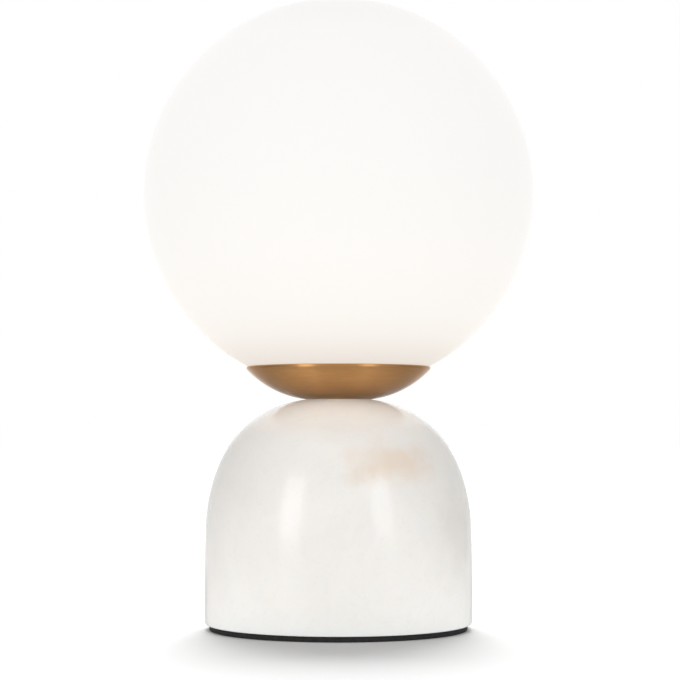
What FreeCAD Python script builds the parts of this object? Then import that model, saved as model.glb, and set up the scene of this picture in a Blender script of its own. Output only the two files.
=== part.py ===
"""Glass globe table lamp: an opal glass ball in a shallow spun cup on a marble dome.

Millimetres, +Z up. The origin is on the table, under the lamp's axis. The front is -Y and the
cable inlet is at the back, +Y. Round pieces are profiles revolved about the lamp's axis, drawn
as (radius, height) points. Screw threads are plain: a male thread is a cylinder at its crest,
and a nut's bore clears it.
"""
import FreeCAD, Part
import math
import os

Vector = FreeCAD.Vector
UP = Vector(0, 0, 1)
BACK = Vector(0, 1, 0)

# ---- marble base and the pad under it ----
PAD_THICKNESS = 2.1
PAD_INSET = 1.8             # marble standing proud of the pad all round
BASE_RADIUS = 51.0
MARBLE_HEIGHT = 85.7        # underside to the flat seat under the cup
FOOT_HEIGHT = 35.0          # straight part of the side
FOOT_ROUND = 1.2            # eased lower edge
SIDE_ARC_RADIUS = 67.4      # side above the straight part
SIDE_ARC_ANGLE = 21.6       # degrees, from the straight part to the shoulder
SEAT_INSET = 0.7            # edge of the marble seat inside the edge of the cup's floor
STEM_HOLE_CLEARANCE = 0.5
RECESS_DEPTH = 27.0

# ---- globe, collar and seat ring ----
GLOBE_RADIUS = 75.0
GLOBE_WALL = 3.0
MOUTH_EDGE_ROUND = 1.0
COLLAR_WALL = 2.2
COLLAR_LENGTH = 12.0
COLLAR_FLANGE_WIDTH = 4.0
COLLAR_FLANGE_THICKNESS = 1.8   # at the mouth's edge
COLLAR_STANDOFF = 2.65      # cup floor to the underside of the collar
BOND_GAP = 0.2              # adhesive between collar and glass
SEAT_RING_WIDTH = 4.0
SEAT_RING_GAP = 0.3         # seat ring to the curved cup wall
SEAT_FACE_GAP = 0.1         # seat ring to the flat face of the collar

# ---- spun cup ----
CUP_RADIUS = 35.3
CUP_WALL = 1.1
CUP_FLOOR_RADIUS = 12.5
CUP_ARC_RADIUS = 37.3
CUP_RIM_BAND = 0.85         # upright band round the rim
CUP_RIM_LAND = 0.2          # flat top of the rim, outside its bevel
RIM_GAP = 0.3               # bevelled rim to the glass

# ---- gallery sleeve, which the collar screws onto ----
SLEEVE_RADIUS = 13.5
SLEEVE_WALL = 1.5
SLEEVE_FLOOR = 1.5
SLEEVE_HEIGHT = 23.0
SLEEVE_FOOT_INSET = 0.4     # sleeve's flat foot inside the flat of the cup
THREAD_CLEARANCE = 0.3      # sleeve to collar, where the thread forms lie

# ---- stem, nuts and lock washers ----
STEM_RADIUS = 5.0
STEM_WALL = 1.0
STEM_CLEARANCE = 0.2        # holes in sheet metal that the stem passes through
STEM_TAIL = 1.6             # stem standing out of each nut
NUT_FIT = 0.05              # nut bore over the stem's thread
NUT_FLATS = 14.0
TOP_NUT_HEIGHT = 3.0
BOTTOM_NUT_HEIGHT = 4.0
LOCK_WASHER_RADIUS = 7.6
LOCK_WASHER_SPLIT = 1.0
TOP_WASHER_THICKNESS = 1.2
BOTTOM_WASHER_THICKNESS = 1.6

# ---- lampholder ----
HOLDER_STRAP_THICKNESS = 1.0
HOLDER_STRAP_WIDTH = 8.0
HOLDER_STRAP_HEIGHT = 11.0
HOLDER_STRAP_BEND = 1.5         # outside radius of each fold
HOLDER_STRAP_CLEARANCE = 0.7    # strap corners to the inside of the sleeve
HOLDER_FOOT_LENGTH = 5.0
HOLDER_BODY_CLEARANCE = 0.8     # ceramic to the inside of the sleeve
HOLDER_BODY_HEIGHT = 18.0
HOLDER_EDGE_CHAMFER = 1.0
HOLDER_SCREW_RADIUS = 1.25
HOLDER_SCREW_HEAD_RADIUS = 2.1
HOLDER_SCREW_HEAD_HEIGHT = 1.6
HOLDER_SCREW_SINK = 0.5         # screw head below the top of the ceramic
SOCKET_DEPTH = 6.0
SOCKET_WEB = 1.5                # ceramic between the socket and the contact pockets
SOCKET_CLEARANCE = 0.4          # bulb plug to the socket's walls and floor
CONTACT_LEAF = 0.4
CONTACT_WIDTH = 3.0
CONTACT_GRIP = 0.05             # pin to each contact leaf
CONTACT_LIFT = 1.0              # foot of the contact above the ceramic's underside
CONTACT_CLEARANCE = 0.4         # contact to its pocket

# ---- bulb ----
PIN_SPACING = 9.0
PIN_RADIUS = 0.5
PIN_LENGTH = 8.0
PIN_EMBED = 2.5
PIN_HOLE_CLEARANCE = 0.4
BULB_PLUG_LENGTH = 14.0
BULB_PLUG_WIDTH = 6.4
BULB_RADIUS = 8.25
BULB_HEIGHT = 50.0              # above its shoulder
BULB_SHOULDER_GAP = 0.2         # shoulder to the top of the ceramic
BULB_BASE_HEIGHT = 9.0
BULB_BASE_WALL = 0.9
BULB_BASE_FLOOR = 3.0
BULB_BASE_FLARE = 0.6
DIFFUSER_INSET = 0.25           # diffuser inside the outline of the base
DIFFUSER_WALL = 1.0
DIFFUSER_NECK = 2.0             # part of the diffuser inside the base
BOARD_WIDTH = 9.6
BOARD_THICKNESS = 1.2
BOARD_HEADROOM = 9.0

# ---- strap, cover and screws in the wiring recess ----
BASE_STRAP_THICKNESS = 1.5
BASE_STRAP_WIDTH = 18.0
BASE_STRAP_BEND = 2.5           # outside radius of each fold
BASE_STRAP_CLEARANCE = 1.6      # strap corners to the recess wall
BASE_FOOT_LENGTH = 10.0
COVER_THICKNESS = 1.2
COVER_LEDGE = 4.0               # marble that the cover rests on, round the recess
COVER_CLEARANCE = 0.3
COVER_SCREW_RADIUS = 1.5
COVER_SCREW_HEAD_RADIUS = 2.8
COVER_SCREW_LENGTH = 4.0

# ---- terminal block ----
BLOCK_POLE_PITCH = 10.0
BLOCK_BARREL_RADIUS = 3.6
BLOCK_LENGTH = 17.0
BLOCK_HEIGHT = 12.0
BLOCK_WEB = 5.0                 # web between the two barrels
BLOCK_GAP = 1.0                 # block to the washer beside it, and to the strap's leg
TOWER_RADIUS = 2.4
TERMINAL_SLEEVE_RADIUS = 2.1
TERMINAL_SLEEVE_BORE = 1.3
TERMINAL_SLEEVE_INSET = 1.0
TERMINAL_SCREW_RADIUS = 1.2
TERMINAL_SCREW_SPACING = 8.0
TERMINAL_SCREW_LENGTH = 5.0
FIXING_SCREW_RADIUS = 1.4
FIXING_SCREW_HEAD_RADIUS = 2.3
FIXING_SCREW_HEAD_HEIGHT = 1.8

# ---- shared by all the small screws ----
SCREW_FIT = 0.05                # tapped holes and countersinks over a screw
SCREW_CLEARANCE = 0.3           # plain holes over a screw
SLOT_WIDTH = 0.7
SLOT_DEPTH = 0.6

# ---- leads ----
LEAD_RADIUS = 1.0
LEAD_SPACING = 4.8              # between the two leads in the stem
LEAD_BEND = 3.0
LEAD_DROP = 8.0                 # loop below the stem's lower end
LEAD_REACH = 8.5                # loop in front of the terminal block
LEAD_GRIP = 7.0                 # lead inside the block
LEAD_TUCK = 0.8                 # straight end under the ceramic, and over the stem

# ---- cable bush at the back of the marble ----
BUSH_BORE_RADIUS = 3.2
BUSH_WALL = 1.6
BUSH_LENGTH = 14.0
BUSH_FLANGE_WIDTH = 2.2
BUSH_FLANGE_THICKNESS = 1.6
BUSH_FIT = 0.1
BUSH_SPOT_CLEARANCE = 0.4
BUSH_SPOT_DEPTH = 1.2           # flat seat for the flange, sunk in the round side
BUSH_HEIGHT = 13.0              # bush axis above the table

# ---- heights above the table ----
marble_bottom = PAD_THICKNESS
seat_z = marble_bottom + MARBLE_HEIGHT
cover_top = marble_bottom + COVER_THICKNESS
recess_top = marble_bottom + RECESS_DEPTH
base_strap_under = recess_top - BASE_STRAP_THICKNESS
bottom_washer_z = base_strap_under - BOTTOM_WASHER_THICKNESS
bottom_nut_z = bottom_washer_z - BOTTOM_NUT_HEIGHT
stem_bottom = bottom_nut_z - STEM_TAIL
cup_floor_z = seat_z + CUP_WALL
sleeve_floor_z = cup_floor_z + SLEEVE_FLOOR
top_washer_z = sleeve_floor_z + HOLDER_STRAP_THICKNESS
top_nut_z = top_washer_z + TOP_WASHER_THICKNESS
stem_top = top_nut_z + TOP_NUT_HEIGHT + STEM_TAIL
ceramic_z = sleeve_floor_z + HOLDER_STRAP_HEIGHT
ceramic_top = ceramic_z + HOLDER_BODY_HEIGHT
socket_floor = ceramic_top - SOCKET_DEPTH
plug_z = socket_floor + SOCKET_CLEARANCE
shoulder_z = ceramic_top + BULB_SHOULDER_GAP
bulb_base_top = shoulder_z + BULB_BASE_HEIGHT

# ---- radii that follow from what fits in what ----
stem_bore = STEM_RADIUS - STEM_WALL
strap_hole = STEM_RADIUS + STEM_CLEARANCE
sleeve_inner = SLEEVE_RADIUS - SLEEVE_WALL
collar_bore = SLEEVE_RADIUS + THREAD_CLEARANCE
collar_radius = collar_bore + COLLAR_WALL
collar_flange_radius = collar_radius + COLLAR_FLANGE_WIDTH
mouth_radius = collar_radius + BOND_GAP
ceramic_radius = sleeve_inner - HOLDER_BODY_CLEARANCE
bush_radius = BUSH_BORE_RADIUS + BUSH_WALL
bush_flange_radius = bush_radius + BUSH_FLANGE_WIDTH

# ---- the globe's centre: its mouth lies on the collar's flange ----
collar_z = cup_floor_z + COLLAR_STANDOFF
mouth_edge_z = collar_z + COLLAR_FLANGE_THICKNESS + BOND_GAP
globe_z = mouth_edge_z + math.sqrt(GLOBE_RADIUS ** 2 - mouth_radius ** 2)

# ---- terminal block, and the strap and recess that it fits ----
block_width = BLOCK_POLE_PITCH + 2 * BLOCK_BARREL_RADIUS
block_x = LOCK_WASHER_RADIUS + BLOCK_GAP + block_width / 2
barrel_z = base_strap_under - BLOCK_BARREL_RADIUS
base_strap_reach = block_x + block_width / 2 + BLOCK_GAP + BASE_STRAP_THICKNESS
recess_radius = math.hypot(base_strap_reach, BASE_STRAP_WIDTH / 2) + BASE_STRAP_CLEARANCE
cover_radius = recess_radius + COVER_LEDGE
cover_screw_x = base_strap_reach - (BASE_STRAP_THICKNESS + BASE_FOOT_LENGTH) / 2

# ---- lampholder strap ----
holder_strap_reach = math.sqrt(
    (sleeve_inner - HOLDER_STRAP_CLEARANCE) ** 2 - (HOLDER_STRAP_WIDTH / 2) ** 2
)
holder_screw_y = holder_strap_reach - (HOLDER_STRAP_THICKNESS + HOLDER_FOOT_LENGTH) / 2


# ---- drawing helpers ----
def point(r, z):
    return Vector(r, 0, z)


def line(a, b):
    return Part.LineSegment(point(*a), point(*b)).toShape()


def arc(a, b, centre):
    """The shorter arc from a to b about a centre."""
    radius = math.hypot(a[0] - centre[0], a[1] - centre[1])
    middle_r = (a[0] + b[0]) / 2 - centre[0]
    middle_z = (a[1] + b[1]) / 2 - centre[1]
    stretch = radius / math.hypot(middle_r, middle_z)
    middle = (centre[0] + middle_r * stretch, centre[1] + middle_z * stretch)
    return Part.Arc(point(*a), point(*middle), point(*b)).toShape()


def lower_z(r, centre, radius):
    """Height of a circle's lower half at a distance r from the lamp's axis."""
    return centre[1] - math.sqrt(radius ** 2 - (r - centre[0]) ** 2)


def polygon(points):
    return [line(a, b) for a, b in zip(points, points[1:] + points[:1])]


def revolve(edges):
    return Part.Face(Part.Wire(edges)).revolve(Vector(0, 0, 0), UP, 360)


def disc(radius, z, height, x=0.0, y=0.0):
    """An upright cylinder standing on height z."""
    return Part.makeCylinder(radius, height, Vector(x, y, z))


def ring(outer, inner, z, height):
    return disc(outer, z, height).cut(disc(inner, z, height))


def rod_along_y(radius, x, start_y, end_y, z):
    return Part.makeCylinder(radius, end_y - start_y, Vector(x, start_y, z), BACK)


def box(size_x, size_y, height, x, y, z):
    """A box centred on (x, y), standing on height z."""
    return Part.makeBox(size_x, size_y, height, Vector(x - size_x / 2, y - size_y / 2, z))


def slot_ended_block(length, width, height, z):
    """An upright block, long in X, with half-round ends."""
    middle = box(length - width, width, height, 0, 0, z)
    ends = [disc(width / 2, z, height, side * (length - width) / 2) for side in (-1, 1)]
    return middle.multiFuse(ends).removeSplitter()


def rounded_path(points, radius):
    """Straight runs through the points, joined by tangent arcs."""
    edges = []
    start = points[0]
    for before, corner, after in zip(points, points[1:], points[2:]):
        arriving = (corner - before).normalize()
        leaving = (after - corner).normalize()
        half_turn = arriving.getAngle(leaving) / 2
        setback = radius * math.tan(half_turn)
        inward = (leaving - arriving).normalize()
        first = corner - arriving * setback
        middle = corner + inward * (radius / math.cos(half_turn) - radius)
        last = corner + leaving * setback
        edges.append(Part.LineSegment(start, first).toShape())
        edges.append(Part.Arc(first, middle, last).toShape())
        start = last
    edges.append(Part.LineSegment(start, points[-1]).toShape())
    return edges


def folded_strap(reach, foot_length, web_z, foot_z, thickness, width, bend):
    """A sheet strap folded to a C: a web across, two legs and two feet turned inward.

    The heights are those of the outer faces of the web and the feet.
    """
    inward = thickness if foot_z > web_z else -thickness
    leg = reach - thickness
    tip = reach - foot_length
    outside = [(tip, foot_z), (reach, foot_z), (reach, web_z)]
    inside = [(tip, foot_z - inward), (leg, foot_z - inward), (leg, web_z + inward)]
    edges = []
    for half, radius in ((outside, bend), (inside, bend - thickness)):
        far_half = [(-x, z) for x, z in reversed(half)]
        edges += rounded_path([point(*p) for p in half + far_half], radius)
    for side in (-1, 1):
        edges.append(line((side * tip, foot_z), (side * tip, foot_z - inward)))
    wire = Part.Wire(Part.sortEdges(edges)[0])
    strap = Part.Face(wire).extrude(Vector(0, width, 0))
    strap.translate(Vector(0, -width / 2, 0))
    return strap


def hexagon_nut(z, height):
    corner = NUT_FLATS / math.sqrt(3)
    angles = [math.radians(30 + 60 * side) for side in range(7)]
    outline = Part.makePolygon([Vector(corner * math.cos(a), corner * math.sin(a), z) for a in angles])
    prism = Part.Face(outline).extrude(Vector(0, 0, height))
    flat = NUT_FLATS / 2
    rise = (corner - flat) * math.tan(math.radians(30))
    turned = revolve(polygon([
        (0, z), (flat, z), (corner, z + rise),
        (corner, z + height - rise), (flat, z + height), (0, z + height),
    ]))
    return prism.common(turned).cut(disc(STEM_RADIUS + NUT_FIT, z, height))


def split_washer(z, thickness):
    split = box(LOCK_WASHER_RADIUS, LOCK_WASHER_SPLIT, thickness, -LOCK_WASHER_RADIUS, 0, z)
    return ring(LOCK_WASHER_RADIUS, strap_hole, z, thickness).cut(split)


def pair(make):
    """The same solid on the left and on the right, as one group."""
    return Part.makeCompound([make(side) for side in (-1, 1)])


# ---- base ----
def marble_base():
    side_centre = (BASE_RADIUS - SIDE_ARC_RADIUS, marble_bottom + FOOT_HEIGHT)
    angle = math.radians(SIDE_ARC_ANGLE)
    outward = (math.cos(angle), math.sin(angle))
    shoulder = tuple(c + SIDE_ARC_RADIUS * o for c, o in zip(side_centre, outward))
    seat_edge = (CUP_FLOOR_RADIUS - SEAT_INSET, seat_z)

    # The shoulder arc leaves the side arc smoothly and ends at the seat's edge.
    across = tuple(s - e for s, e in zip(shoulder, seat_edge))
    along = across[0] * outward[0] + across[1] * outward[1]
    shoulder_radius = (across[0] ** 2 + across[1] ** 2) / (2 * along)
    shoulder_centre = tuple(s - shoulder_radius * o for s, o in zip(shoulder, outward))

    foot_centre = (BASE_RADIUS - FOOT_ROUND, marble_bottom + FOOT_ROUND)
    dome = revolve([
        line((0, marble_bottom), (foot_centre[0], marble_bottom)),
        arc((foot_centre[0], marble_bottom), (BASE_RADIUS, foot_centre[1]), foot_centre),
        line((BASE_RADIUS, foot_centre[1]), (BASE_RADIUS, side_centre[1])),
        arc((BASE_RADIUS, side_centre[1]), shoulder, side_centre),
        arc(shoulder, seat_edge, shoulder_centre),
        line(seat_edge, (0, seat_z)),
        line((0, seat_z), (0, marble_bottom)),
    ])
    spot_y = BASE_RADIUS - BUSH_SPOT_DEPTH
    spot_radius = bush_flange_radius + BUSH_SPOT_CLEARANCE
    return dome.cut([
        disc(STEM_RADIUS + STEM_HOLE_CLEARANCE, marble_bottom, MARBLE_HEIGHT),
        disc(recess_radius, marble_bottom, RECESS_DEPTH),
        disc(cover_radius + COVER_CLEARANCE, marble_bottom, COVER_THICKNESS),
        rod_along_y(bush_radius + BUSH_FIT, 0, 0, BASE_RADIUS, BUSH_HEIGHT),
        rod_along_y(spot_radius, 0, spot_y, BASE_RADIUS, BUSH_HEIGHT),
    ])


def base_pad():
    return disc(BASE_RADIUS - PAD_INSET, 0, PAD_THICKNESS)


def cable_bush():
    seat_y = BASE_RADIUS - BUSH_SPOT_DEPTH
    end_y = seat_y + BUSH_FLANGE_THICKNESS
    start_y = end_y - BUSH_LENGTH
    shank = rod_along_y(bush_radius, 0, start_y, end_y, BUSH_HEIGHT)
    flange = rod_along_y(bush_flange_radius, 0, seat_y, end_y, BUSH_HEIGHT)
    return shank.fuse(flange).cut(rod_along_y(BUSH_BORE_RADIUS, 0, start_y, end_y, BUSH_HEIGHT))


def countersunk(x, growth):
    """The cone of a cover screw's head, as deep as the cover; growth makes room round it."""
    head = COVER_SCREW_HEAD_RADIUS + growth
    shank = COVER_SCREW_RADIUS + growth
    return Part.makeCone(head, shank, COVER_THICKNESS, Vector(x, 0, marble_bottom))


def base_cover():
    plate = disc(cover_radius, marble_bottom, COVER_THICKNESS)
    return plate.cut([countersunk(side * cover_screw_x, SCREW_FIT) for side in (-1, 1)])


def cover_screws():
    def screw(side):
        x = side * cover_screw_x
        slot = box(2 * COVER_SCREW_HEAD_RADIUS, SLOT_WIDTH, SLOT_DEPTH, x, 0, marble_bottom)
        shank = disc(COVER_SCREW_RADIUS, cover_top, COVER_SCREW_LENGTH, x)
        return countersunk(x, 0).fuse(shank).cut(slot)
    return pair(screw)


def base_strap():
    strap = folded_strap(
        base_strap_reach, BASE_FOOT_LENGTH, recess_top, cover_top,
        BASE_STRAP_THICKNESS, BASE_STRAP_WIDTH, BASE_STRAP_BEND,
    )
    tapped = COVER_SCREW_RADIUS + SCREW_FIT
    holes = [disc(tapped, cover_top, BASE_STRAP_THICKNESS, s * cover_screw_x) for s in (-1, 1)]
    holes.append(disc(strap_hole, base_strap_under, BASE_STRAP_THICKNESS))
    holes.append(disc(
        FIXING_SCREW_RADIUS + SCREW_FIT, base_strap_under, BASE_STRAP_THICKNESS, block_x
    ))
    return strap.cut(holes)


# ---- terminal block, hanging under the base strap with its screws facing down ----
def pole_positions():
    return [block_x + side * BLOCK_POLE_PITCH / 2 for side in (-1, 1)]


def terminal_screw_positions():
    return [
        (x, side * TERMINAL_SCREW_SPACING / 2) for x in pole_positions() for side in (-1, 1)
    ]


def terminal_screw_tip():
    """The screws stop at the lead that they clamp."""
    return barrel_z - LEAD_RADIUS - SCREW_FIT


def terminal_block():
    half = BLOCK_LENGTH / 2
    bottom = base_strap_under - BLOCK_HEIGHT
    web = box(
        BLOCK_POLE_PITCH, BLOCK_LENGTH, BLOCK_WEB, block_x, 0, base_strap_under - BLOCK_WEB
    )
    barrels = [
        rod_along_y(BLOCK_BARREL_RADIUS, x, -half, half, barrel_z) for x in pole_positions()
    ]
    towers = [
        disc(TOWER_RADIUS, bottom, barrel_z - bottom, x, y) for x, y in terminal_screw_positions()
    ]
    bores = [
        rod_along_y(TERMINAL_SLEEVE_RADIUS + SCREW_FIT, x, -half, half, barrel_z)
        for x in pole_positions()
    ]
    screw_holes = [
        disc(TERMINAL_SCREW_RADIUS + SCREW_FIT, bottom, barrel_z - bottom, x, y)
        for x, y in terminal_screw_positions()
    ]
    fixing_hole = disc(
        FIXING_SCREW_RADIUS + SCREW_CLEARANCE, base_strap_under - BLOCK_WEB, BLOCK_WEB, block_x
    )
    head_room = disc(
        FIXING_SCREW_HEAD_RADIUS + SCREW_FIT, bottom, BLOCK_HEIGHT - BLOCK_WEB, block_x
    )
    body = web.multiFuse(barrels + towers)
    return body.cut(bores + screw_holes + [fixing_hole, head_room])


def terminal_sleeves():
    half = BLOCK_LENGTH / 2 - TERMINAL_SLEEVE_INSET
    tip = terminal_screw_tip()

    def sleeve(x):
        outside = rod_along_y(TERMINAL_SLEEVE_RADIUS, x, -half, half, barrel_z)
        bore = rod_along_y(TERMINAL_SLEEVE_BORE, x, -half, half, barrel_z)
        tapped = [
            disc(TERMINAL_SCREW_RADIUS + SCREW_FIT, tip - TERMINAL_SLEEVE_RADIUS,
                 TERMINAL_SLEEVE_RADIUS + LEAD_RADIUS, x, side * TERMINAL_SCREW_SPACING / 2)
            for side in (-1, 1)
        ]
        return outside.cut([bore] + tapped)
    return Part.makeCompound([sleeve(x) for x in pole_positions()])


def terminal_screws():
    def screw(x, y):
        z = terminal_screw_tip() - TERMINAL_SCREW_LENGTH
        slot = box(2 * TERMINAL_SCREW_RADIUS, SLOT_WIDTH, SLOT_DEPTH, x, y, z)
        return disc(TERMINAL_SCREW_RADIUS, z, TERMINAL_SCREW_LENGTH, x, y).cut(slot)
    return Part.makeCompound([screw(x, y) for x, y in terminal_screw_positions()])


def block_fixing_screw():
    web_z = base_strap_under - BLOCK_WEB
    head_z = web_z - FIXING_SCREW_HEAD_HEIGHT
    head = disc(FIXING_SCREW_HEAD_RADIUS, head_z, FIXING_SCREW_HEAD_HEIGHT, block_x)
    shank = disc(FIXING_SCREW_RADIUS, web_z, recess_top - web_z, block_x)
    slot = box(2 * FIXING_SCREW_HEAD_RADIUS, SLOT_WIDTH, SLOT_DEPTH, block_x, 0, head_z)
    return head.fuse(shank).cut(slot)


# ---- stem and its fastenings ----
def stem_tube():
    return ring(STEM_RADIUS, stem_bore, stem_bottom, stem_top - stem_bottom)


def bottom_lock_washer():
    return split_washer(bottom_washer_z, BOTTOM_WASHER_THICKNESS)


def bottom_nut():
    return hexagon_nut(bottom_nut_z, BOTTOM_NUT_HEIGHT)


def top_lock_washer():
    return split_washer(top_washer_z, TOP_WASHER_THICKNESS)


def top_nut():
    return hexagon_nut(top_nut_z, TOP_NUT_HEIGHT)


# ---- cup, gallery sleeve and seat ring ----
def cup_curve():
    """Centre of the outer curve of the cup: from the floor's edge to the foot of the rim band."""
    land_radius = CUP_RADIUS - CUP_RIM_LAND
    rim_top = lower_z(land_radius, (0, globe_z), GLOBE_RADIUS + RIM_GAP)
    band_z = rim_top - CUP_RIM_BAND
    chord = (CUP_RADIUS - CUP_FLOOR_RADIUS, band_z - seat_z)
    length = math.hypot(*chord)
    rise = math.sqrt(CUP_ARC_RADIUS ** 2 - (length / 2) ** 2) / length
    centre = (
        (CUP_RADIUS + CUP_FLOOR_RADIUS) / 2 - chord[1] * rise,
        (band_z + seat_z) / 2 + chord[0] * rise,
    )
    return centre, band_z, rim_top


def cup_inner_flat(centre):
    """Radius at which the inside of the cup turns up from its floor."""
    inner_radius = CUP_ARC_RADIUS - CUP_WALL
    return centre[0] + math.sqrt(inner_radius ** 2 - (centre[1] - cup_floor_z) ** 2)


def globe_cup():
    centre, band_z, rim_top = cup_curve()
    inner_radius = CUP_RADIUS - CUP_WALL
    inner_rim = (inner_radius, lower_z(inner_radius, centre, CUP_ARC_RADIUS - CUP_WALL))
    floor_edge = (cup_inner_flat(centre), cup_floor_z)
    bowl = revolve([
        line((strap_hole, seat_z), (CUP_FLOOR_RADIUS, seat_z)),
        arc((CUP_FLOOR_RADIUS, seat_z), (CUP_RADIUS, band_z), centre),
        line((CUP_RADIUS, band_z), (CUP_RADIUS, rim_top)),
        line((CUP_RADIUS, rim_top), (inner_radius, rim_top)),
        line((inner_radius, rim_top), inner_rim),
        arc(inner_rim, floor_edge, centre),
        line(floor_edge, (strap_hole, cup_floor_z)),
        line((strap_hole, cup_floor_z), (strap_hole, seat_z)),
    ])
    # The rim is bevelled to follow the glass.
    return bowl.cut(Part.makeSphere(GLOBE_RADIUS + RIM_GAP, Vector(0, 0, globe_z)))


def gallery_sleeve():
    foot_radius = cup_inner_flat(cup_curve()[0]) - SLEEVE_FOOT_INSET
    top = cup_floor_z + SLEEVE_HEIGHT
    return revolve(polygon([
        (strap_hole, cup_floor_z), (foot_radius, cup_floor_z),
        (SLEEVE_RADIUS, cup_floor_z + SLEEVE_FLOOR / 2), (SLEEVE_RADIUS, top),
        (sleeve_inner, top), (sleeve_inner, sleeve_floor_z), (strap_hole, sleeve_floor_z),
    ]))


def seat_ring():
    centre = cup_curve()[0]
    under_radius = CUP_ARC_RADIUS - CUP_WALL - SEAT_RING_GAP
    outer_radius = collar_bore + SEAT_RING_WIDTH
    inner_foot = (collar_bore, lower_z(collar_bore, centre, under_radius))
    outer_foot = (outer_radius, lower_z(outer_radius, centre, under_radius))
    top = collar_z - SEAT_FACE_GAP
    return revolve([
        arc(inner_foot, outer_foot, centre),
        line(outer_foot, (outer_radius, top)),
        line((outer_radius, top), (collar_bore, top)),
        line((collar_bore, top), inner_foot),
    ])


# ---- globe ----
def glass_globe():
    centre = Vector(0, 0, globe_z)
    shell = Part.makeSphere(GLOBE_RADIUS, centre).cut(
        Part.makeSphere(GLOBE_RADIUS - GLOBE_WALL, centre)
    )
    shell = shell.cut(disc(mouth_radius, globe_z - GLOBE_RADIUS, GLOBE_RADIUS))
    mouth_edges = [
        edge for edge in shell.Edges
        if all(abs(math.hypot(v.X, v.Y) - mouth_radius) < 1e-4 for v in edge.Vertexes)
        and abs(edge.Length - 2 * math.pi * mouth_radius) < 1e-3
    ]
    return shell.makeFillet(MOUTH_EDGE_ROUND, mouth_edges)


def globe_collar():
    centre = (0, globe_z)
    bond_radius = GLOBE_RADIUS + BOND_GAP
    flange_edge = (collar_flange_radius, lower_z(collar_flange_radius, centre, bond_radius))
    neck_foot = (collar_radius, lower_z(collar_radius, centre, bond_radius))
    top = collar_z + COLLAR_LENGTH
    return revolve([
        line((collar_bore, collar_z), (collar_flange_radius, collar_z)),
        line((collar_flange_radius, collar_z), flange_edge),
        arc(flange_edge, neck_foot, centre),
        line(neck_foot, (collar_radius, top)),
        line((collar_radius, top), (collar_bore, top)),
        line((collar_bore, top), (collar_bore, collar_z)),
    ])


# ---- lampholder ----
def contact_thickness():
    return 2 * (PIN_RADIUS + CONTACT_GRIP + CONTACT_LEAF)


def holder_strap():
    strap = folded_strap(
        holder_strap_reach, HOLDER_FOOT_LENGTH, sleeve_floor_z, ceramic_z,
        HOLDER_STRAP_THICKNESS, HOLDER_STRAP_WIDTH, HOLDER_STRAP_BEND,
    )
    strap.rotate(Vector(0, 0, 0), UP, 90)
    # The web swells to a round eye under the lock washer.
    strap = strap.fuse(disc(LOCK_WASHER_RADIUS, sleeve_floor_z, HOLDER_STRAP_THICKNESS))
    tapped = [
        disc(HOLDER_SCREW_RADIUS + SCREW_FIT, ceramic_z - HOLDER_STRAP_THICKNESS,
             HOLDER_STRAP_THICKNESS, 0, side * holder_screw_y)
        for side in (-1, 1)
    ]
    return strap.cut(tapped + [disc(strap_hole, sleeve_floor_z, HOLDER_STRAP_THICKNESS)])


def holder_body():
    corner = ceramic_radius - HOLDER_EDGE_CHAMFER
    body = revolve(polygon([
        (0, ceramic_z), (ceramic_radius, ceramic_z),
        (ceramic_radius, ceramic_top - HOLDER_EDGE_CHAMFER), (corner, ceramic_top),
        (0, ceramic_top),
    ]))
    socket = slot_ended_block(
        BULB_PLUG_LENGTH + 2 * SOCKET_CLEARANCE, BULB_PLUG_WIDTH + 2 * SOCKET_CLEARANCE,
        SOCKET_DEPTH, socket_floor,
    )
    cuts = [socket]
    pocket_height = socket_floor - SOCKET_WEB - ceramic_z
    head_z = ceramic_top - HOLDER_SCREW_SINK - HOLDER_SCREW_HEAD_HEIGHT
    for side in (-1, 1):
        pin_x = side * PIN_SPACING / 2
        screw_y = side * holder_screw_y
        cuts += [
            box(contact_thickness() + 2 * CONTACT_CLEARANCE,
                CONTACT_WIDTH + 2 * CONTACT_CLEARANCE, pocket_height, pin_x, 0, ceramic_z),
            disc(PIN_RADIUS + PIN_HOLE_CLEARANCE, socket_floor - SOCKET_WEB, SOCKET_WEB, pin_x),
            disc(HOLDER_SCREW_RADIUS + SCREW_CLEARANCE, ceramic_z, head_z - ceramic_z, 0, screw_y),
            disc(HOLDER_SCREW_HEAD_RADIUS + SCREW_CLEARANCE, head_z, ceramic_top - head_z,
                 0, screw_y),
        ]
    return body.cut(cuts)


def holder_contacts():
    foot = ceramic_z + CONTACT_LIFT
    top = socket_floor - SOCKET_WEB - CONTACT_CLEARANCE

    def contact(side):
        x = side * PIN_SPACING / 2
        clip = box(contact_thickness(), CONTACT_WIDTH, top - foot, x, 0, foot)
        gap = box(2 * (PIN_RADIUS + CONTACT_GRIP), CONTACT_WIDTH, top - foot - CONTACT_LEAF,
                  x, 0, foot + CONTACT_LEAF)
        return clip.cut(gap)
    return pair(contact)


def holder_screws():
    head_z = ceramic_top - HOLDER_SCREW_SINK - HOLDER_SCREW_HEAD_HEIGHT
    tip_z = ceramic_z - HOLDER_STRAP_THICKNESS
    slot_z = head_z + HOLDER_SCREW_HEAD_HEIGHT - SLOT_DEPTH

    def screw(side):
        y = side * holder_screw_y
        head = disc(HOLDER_SCREW_HEAD_RADIUS, head_z, HOLDER_SCREW_HEAD_HEIGHT, 0, y)
        shank = disc(HOLDER_SCREW_RADIUS, tip_z, head_z - tip_z, 0, y)
        slot = box(2 * HOLDER_SCREW_HEAD_RADIUS, SLOT_WIDTH, SLOT_DEPTH, 0, y, slot_z)
        return head.fuse(shank).cut(slot)
    return pair(screw)


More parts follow.
